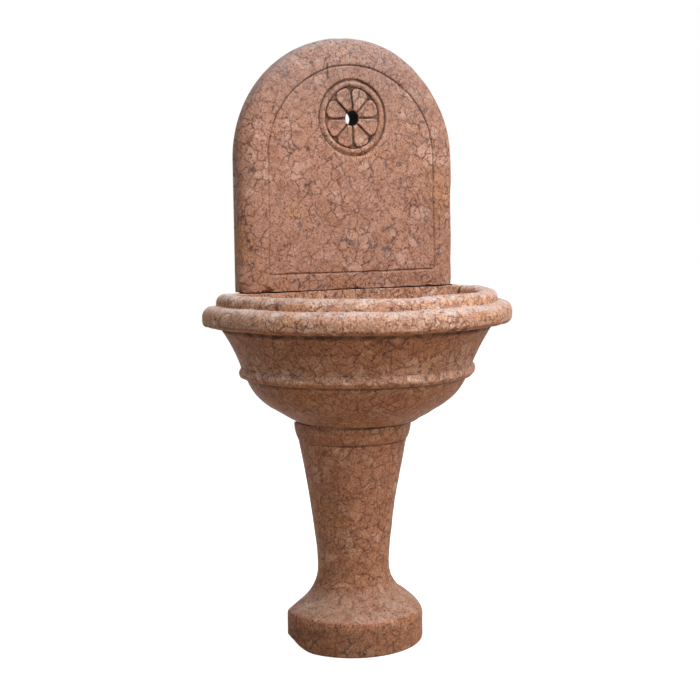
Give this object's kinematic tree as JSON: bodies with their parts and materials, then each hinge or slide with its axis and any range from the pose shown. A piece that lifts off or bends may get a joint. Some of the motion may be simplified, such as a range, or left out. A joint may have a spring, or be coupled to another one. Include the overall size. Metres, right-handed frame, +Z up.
{
  "type": "wall fountain",
  "caption": "Stone wall fountain: turned pedestal, half-round basin with a double-rolled rim, arched back slab with a carved rosette round a spout bore, and a lift-out overflow pipe.",
  "frame": {"origin": "middle of the part's plan box, on the floor", "axes": "+Z up, +Y towards the wall behind the fountain, +X to the right of someone who faces it"},
  "size_m": [0.7468, 0.4275, 1.45],
  "materials": {
    "marble": "honed and weathered pink-red nodular marble with dark red veins",
    "mortar": "dark lime mortar",
    "dowel_steel": "plain rod",
    "brass": "dull water-worn brass",
    "rubber": "matte black rubber",
    "waste_pipe": "grey waste-pipe plastic"
  },
  "bodies": {
    "fountain": {"pedestal": "marble", "basin": "marble", "back_slab": "marble", "basin_bed": "mortar", "slab_bed": "mortar", "basin_dowels": "dowel_steel", "slab_dowels": "dowel_steel", "drain_seal": "rubber", "drain_flange": "brass", "drain_washer": "rubber", "drain_nut": "brass", "waste_elbow": "waste_pipe", "outlet_pipe": "waste_pipe"},
    "overflow": {"overflow_pipe": "brass", "overflow_ring": "rubber"}
  },
  "joints": [
    {"name": "overflow_lift", "type": "slide", "parent": "fountain", "child": "overflow", "axis": [0, 0, 1], "range_m": [0, 0.3]}
  ]
}
